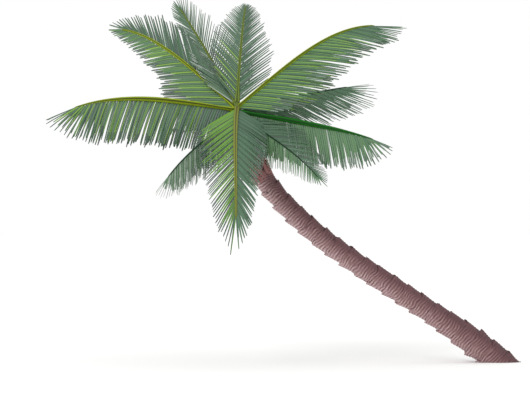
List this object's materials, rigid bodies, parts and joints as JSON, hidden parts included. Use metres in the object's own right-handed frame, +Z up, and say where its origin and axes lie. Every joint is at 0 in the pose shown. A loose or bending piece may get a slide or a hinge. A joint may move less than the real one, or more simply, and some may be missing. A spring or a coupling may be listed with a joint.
{
  "type": "coconut palm tree",
  "caption": "Leaning palm tree with a ringed trunk that curves up into a full crown of arching feather fronds, rooted in level ground.",
  "frame": {"origin": "middle of the trunk's flat cut at ground level, on the ground mount", "axes": "+Z up, the trunk leans along -X, and -Y is the side that the picture shows"},
  "size_m": [10.7794, 7.2036, 8.5421],
  "materials": {
    "bark": "rough, ringed with old leaf scars, mauve brown",
    "leaf": "satin green leaf on olive ribs"
  },
  "bodies": {
    "root": {"trunk": "bark", "frond_left": "leaf", "frond_upper_left": "leaf", "frond_back_left": "leaf", "frond_top_inner": "leaf", "frond_top_outer": "leaf", "frond_upper_right": "leaf", "frond_back_right": "leaf", "frond_right": "leaf", "frond_lower_right": "leaf", "frond_front_inner": "leaf", "frond_front_outer": "leaf", "frond_lower_left": "leaf", "frond_back_low_left": "leaf", "frond_back_low": "leaf", "frond_back_low_right": "leaf"}
  },
  "joints": []
}
